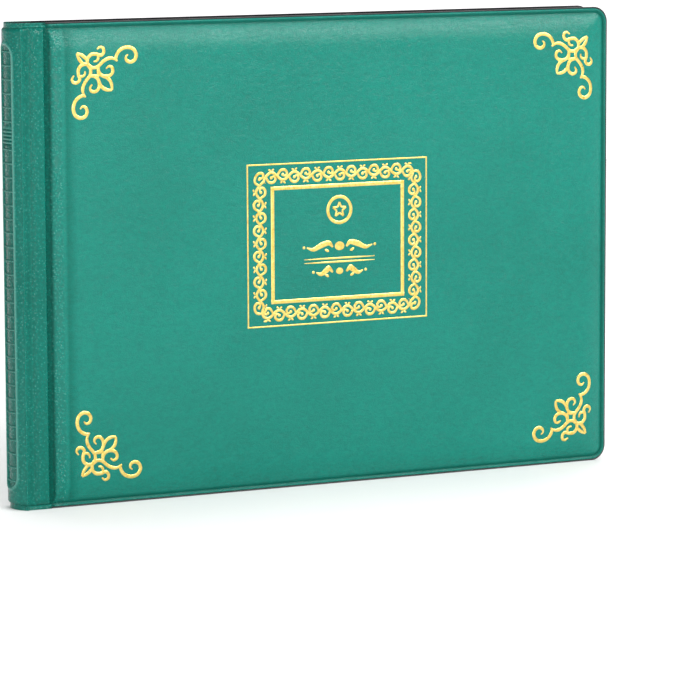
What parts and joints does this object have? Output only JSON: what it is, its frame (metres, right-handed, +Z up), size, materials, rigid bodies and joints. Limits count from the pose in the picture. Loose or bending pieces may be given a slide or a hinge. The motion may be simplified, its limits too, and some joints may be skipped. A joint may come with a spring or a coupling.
{
  "type": "coin album",
  "caption": "Padded album with two hinged covers on a rounded spine and leaves of clear flap-topped coin pockets in a small-pocket pack and a large-pocket pack.",
  "frame": {"origin": "under the middle of the closed album as it stands on its lower edges", "axes": "+X from the spine to the fore-edge, -Y out of the front cover, +Z up along the spine"},
  "size_m": [0.253, 0.0181, 0.18],
  "materials": {
    "green_leathercloth": "satin",
    "black_vinyl": "satin",
    "foam": "matte",
    "grey_board": "matte",
    "clear_film": "gloss",
    "smoked_film": "gloss",
    "gold_foil": "polished",
    "gold_coin": "satin"
  },
  "bodies": {
    "spine": {"spine_skin": "green_leathercloth", "spine_foam": "foam", "spine_board": "grey_board", "spine_lining": "black_vinyl", "front_hinge_strip": "green_leathercloth", "back_hinge_strip": "green_leathercloth", "front_leaf_binding": "black_vinyl", "back_leaf_binding": "black_vinyl"},
    "front_cover": {"front_cover_skin": "green_leathercloth", "front_cover_foam": "foam", "front_cover_board": "grey_board", "front_cover_lining": "black_vinyl", "front_cover_foil": "gold_foil"},
    "back_cover": {"back_cover_skin": "green_leathercloth", "back_cover_foam": "foam", "back_cover_board": "grey_board", "back_cover_lining": "black_vinyl"},
    "leaf_01": {"leaf_01_sheet": "black_vinyl", "leaf_01_pocket_film": "clear_film", "leaf_01_flaps": "smoked_film"},
    "leaf_02": {"leaf_02_sheet": "black_vinyl", "leaf_02_pocket_film": "clear_film", "leaf_02_flaps": "smoked_film"},
    "leaf_03": {"leaf_03_sheet": "black_vinyl", "leaf_03_pocket_film": "clear_film", "leaf_03_flaps": "smoked_film"},
    "leaf_04": {"leaf_04_sheet": "black_vinyl", "leaf_04_pocket_film": "clear_film", "leaf_04_flaps": "smoked_film"},
    "leaf_05": {"leaf_05_sheet": "black_vinyl", "leaf_05_pocket_film": "clear_film", "leaf_05_flaps": "smoked_film", "leaf_05_seams": "clear_film", "small_coins": "gold_coin"},
    "leaf_06": {"leaf_06_sheet": "black_vinyl", "leaf_06_pocket_film": "clear_film", "leaf_06_flaps": "smoked_film", "leaf_06_seams": "clear_film", "large_coins": "gold_coin"},
    "leaf_07": {"leaf_07_sheet": "black_vinyl", "leaf_07_pocket_film": "clear_film", "leaf_07_flaps": "smoked_film"},
    "leaf_08": {"leaf_08_sheet": "black_vinyl", "leaf_08_pocket_film": "clear_film", "leaf_08_flaps": "smoked_film"},
    "leaf_09": {"leaf_09_sheet": "black_vinyl", "leaf_09_pocket_film": "clear_film", "leaf_09_flaps": "smoked_film"},
    "leaf_10": {"leaf_10_sheet": "black_vinyl", "leaf_10_pocket_film": "clear_film", "leaf_10_flaps": "smoked_film"}
  },
  "joints": [
    {"name": "front_cover_hinge", "type": "hinge", "parent": "spine", "child": "front_cover", "pos_m": [-0.1174, -0.0075, 0.09], "axis": [0, 0, -1], "range_deg": [0, 90]},
    {"name": "back_cover_hinge", "type": "hinge", "parent": "spine", "child": "back_cover", "pos_m": [-0.1174, 0.0075, 0.09], "axis": [0, 0, 1], "range_deg": [0, 90]},
    {"name": "leaf_01_hinge", "type": "hinge", "parent": "spine", "child": "leaf_01", "pos_m": [-0.1153, -0.00547, 0.09], "axis": [0, 0, -1], "range_deg": [0, 90]},
    {"name": "leaf_02_hinge", "type": "hinge", "parent": "spine", "child": "leaf_02", "pos_m": [-0.1144, -0.00468, 0.09], "axis": [0, 0, -1], "range_deg": [0, 90]},
    {"name": "leaf_03_hinge", "type": "hinge", "parent": "spine", "child": "leaf_03", "pos_m": [-0.1135, -0.00387, 0.09], "axis": [0, 0, -1], "range_deg": [0, 90]},
    {"name": "leaf_04_hinge", "type": "hinge", "parent": "spine", "child": "leaf_04", "pos_m": [-0.1126, -0.00308, 0.09], "axis": [0, 0, -1], "range_deg": [0, 90]},
    {"name": "leaf_05_hinge", "type": "hinge", "parent": "spine", "child": "leaf_05", "pos_m": [-0.1117, -0.00228, 0.09], "axis": [0, 0, -1], "range_deg": [0, 90]},
    {"name": "leaf_06_hinge", "type": "hinge", "parent": "spine", "child": "leaf_06", "pos_m": [-0.1117, 0.00228, 0.09], "axis": [0, 0, 1], "range_deg": [0, 90]},
    {"name": "leaf_07_hinge", "type": "hinge", "parent": "spine", "child": "leaf_07", "pos_m": [-0.1126, 0.00308, 0.09], "axis": [0, 0, 1], "range_deg": [0, 90]},
    {"name": "leaf_08_hinge", "type": "hinge", "parent": "spine", "child": "leaf_08", "pos_m": [-0.1135, 0.00387, 0.09], "axis": [0, 0, 1], "range_deg": [0, 90]},
    {"name": "leaf_09_hinge", "type": "hinge", "parent": "spine", "child": "leaf_09", "pos_m": [-0.1144, 0.00468, 0.09], "axis": [0, 0, 1], "range_deg": [0, 90]},
    {"name": "leaf_10_hinge", "type": "hinge", "parent": "spine", "child": "leaf_10", "pos_m": [-0.1153, 0.00547, 0.09], "axis": [0, 0, 1], "range_deg": [0, 90]}
  ],
  "couplings": [
    {"joint": "leaf_01_hinge", "follows": "front_cover_hinge", "ratio": 0.994},
    {"joint": "leaf_02_hinge", "follows": "front_cover_hinge", "ratio": 0.988},
    {"joint": "leaf_03_hinge", "follows": "front_cover_hinge", "ratio": 0.982},
    {"joint": "leaf_04_hinge", "follows": "front_cover_hinge", "ratio": 0.976},
    {"joint": "leaf_05_hinge", "follows": "front_cover_hinge", "ratio": 0.97},
    {"joint": "leaf_06_hinge", "follows": "back_cover_hinge", "ratio": 0.97},
    {"joint": "leaf_07_hinge", "follows": "back_cover_hinge", "ratio": 0.976},
    {"joint": "leaf_08_hinge", "follows": "back_cover_hinge", "ratio": 0.982},
    {"joint": "leaf_09_hinge", "follows": "back_cover_hinge", "ratio": 0.988},
    {"joint": "leaf_10_hinge", "follows": "back_cover_hinge", "ratio": 0.994}
  ]
}
